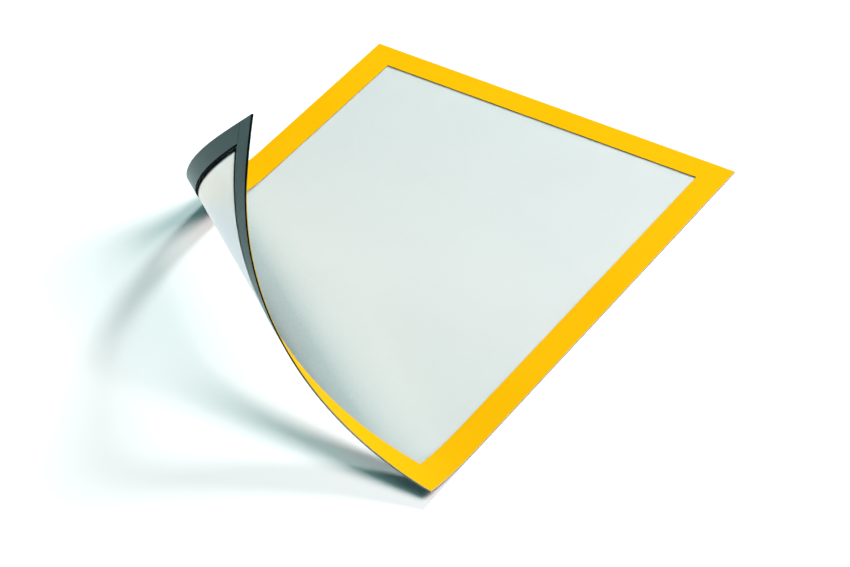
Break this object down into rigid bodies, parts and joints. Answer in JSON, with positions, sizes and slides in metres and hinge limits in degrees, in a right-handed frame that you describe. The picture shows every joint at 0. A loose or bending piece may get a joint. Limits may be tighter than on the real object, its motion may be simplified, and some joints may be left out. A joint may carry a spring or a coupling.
{
  "type": "magnetic display frame",
  "caption": "A4 magnetic display frame: matt window film in a coloured border with magnetic strips behind, one corner peeled up and curled over.",
  "frame": {"origin": "under the middle of the curled frame's bounding box, on the surface that its magnetic back lies on", "axes": "+Z out of the flat part's front face, +Y towards the top edge, +X towards the right edge as the front is read"},
  "size_m": [0.2364, 0.3228, 0.1176],
  "materials": {
    "cover": "satin printed film in warm yellow, very fine grain",
    "core": "matt black sheet, seen at the cut edges and behind the window's rim",
    "film": "matt anti-glare film, pale and translucent, with a fine grain",
    "strip": "dark grey magnetic rubber with a soft sheen"
  },
  "bodies": {
    "flat_part": {"cover_flat": "cover", "core_flat": "core", "window_film_flat": "film", "magnetic_strip_top_flat": "strip", "magnetic_strip_left_flat": "strip", "magnetic_strip_right_flat": "strip"},
    "bend_1": {"cover_bend_1_left": "cover", "cover_bend_1_right_bottom": "cover", "core_bend_1_left": "core", "core_bend_1_right_bottom": "core", "window_film_bend_1": "film", "magnetic_strip_left_bend_1": "strip", "magnetic_strip_right_bend_1": "strip", "magnetic_strip_bottom_bend_1": "strip"},
    "bend_2": {"cover_bend_2_left": "cover", "cover_bend_2_bottom": "cover", "core_bend_2_left": "core", "core_bend_2_bottom": "core", "window_film_bend_2": "film", "magnetic_strip_left_bend_2": "strip", "magnetic_strip_bottom_bend_2": "strip"},
    "bend_3": {"cover_bend_3_left": "cover", "cover_bend_3_bottom": "cover", "core_bend_3_left": "core", "core_bend_3_bottom": "core", "window_film_bend_3": "film", "magnetic_strip_left_bend_3": "strip", "magnetic_strip_bottom_bend_3": "strip"},
    "bend_4": {"cover_bend_4_left": "cover", "cover_bend_4_bottom": "cover", "core_bend_4_left": "core", "core_bend_4_bottom": "core", "window_film_bend_4": "film", "magnetic_strip_left_bend_4": "strip", "magnetic_strip_bottom_bend_4": "strip"},
    "bend_5": {"cover_bend_5_left": "cover", "cover_bend_5_bottom": "cover", "core_bend_5_left": "core", "core_bend_5_bottom": "core", "window_film_bend_5": "film", "magnetic_strip_left_bend_5": "strip", "magnetic_strip_bottom_bend_5": "strip"},
    "bend_6": {"cover_bend_6_left": "cover", "cover_bend_6_bottom": "cover", "core_bend_6_left": "core", "core_bend_6_bottom": "core", "window_film_bend_6": "film", "magnetic_strip_left_bend_6": "strip", "magnetic_strip_bottom_bend_6": "strip"},
    "bend_7": {"cover_bend_7_left_bottom": "cover", "core_bend_7_left_bottom": "core", "window_film_bend_7": "film", "magnetic_strip_left_bend_7": "strip", "magnetic_strip_bottom_bend_7": "strip"}
  },
  "joints": [
    {"name": "corner_peel", "type": "hinge", "parent": "flat_part", "child": "bend_1", "pos_m": [-0.11812, 0.01473, 0.00176], "axis": [-0.8308, 0.5566, -0.001], "range_deg": [-17.28, 4]},
    {"name": "corner_peel_2", "type": "hinge", "parent": "bend_1", "child": "bend_2", "pos_m": [-0.11774, -0.00664, 0.00701], "axis": [-0.8185, 0.5745, -0.0077], "range_deg": [-17.28, 4]},
    {"name": "corner_peel_3", "type": "hinge", "parent": "bend_2", "child": "bend_3", "pos_m": [-0.11629, -0.02294, 0.01569], "axis": [-0.8053, 0.5924, -0.0232], "range_deg": [-17.28, 4]},
    {"name": "corner_peel_4", "type": "hinge", "parent": "bend_3", "child": "bend_4", "pos_m": [-0.1131, -0.03671, 0.02762], "axis": [-0.7919, 0.6086, -0.0502], "range_deg": [-17.28, 4]},
    {"name": "corner_peel_5", "type": "hinge", "parent": "bend_4", "child": "bend_5", "pos_m": [-0.10768, -0.04743, 0.04172], "axis": [-0.7807, 0.6185, -0.089], "range_deg": [-17.28, 4]},
    {"name": "corner_peel_6", "type": "hinge", "parent": "bend_5", "child": "bend_6", "pos_m": [-0.09911, -0.05543, 0.0579], "axis": [-0.7741, 0.617, -0.1415], "range_deg": [-17.28, 4]},
    {"name": "corner_peel_7", "type": "hinge", "parent": "bend_6", "child": "bend_7", "pos_m": [-0.08335, -0.06178, 0.07973], "axis": [-0.7756, 0.59, -0.2246], "range_deg": [-17.28, 4]}
  ],
  "couplings": [
    {"joint": "corner_peel_2", "follows": "corner_peel", "ratio": 1},
    {"joint": "corner_peel_3", "follows": "corner_peel", "ratio": 1},
    {"joint": "corner_peel_4", "follows": "corner_peel", "ratio": 1},
    {"joint": "corner_peel_5", "follows": "corner_peel", "ratio": 1},
    {"joint": "corner_peel_6", "follows": "corner_peel", "ratio": 1},
    {"joint": "corner_peel_7", "follows": "corner_peel", "ratio": 1}
  ]
}
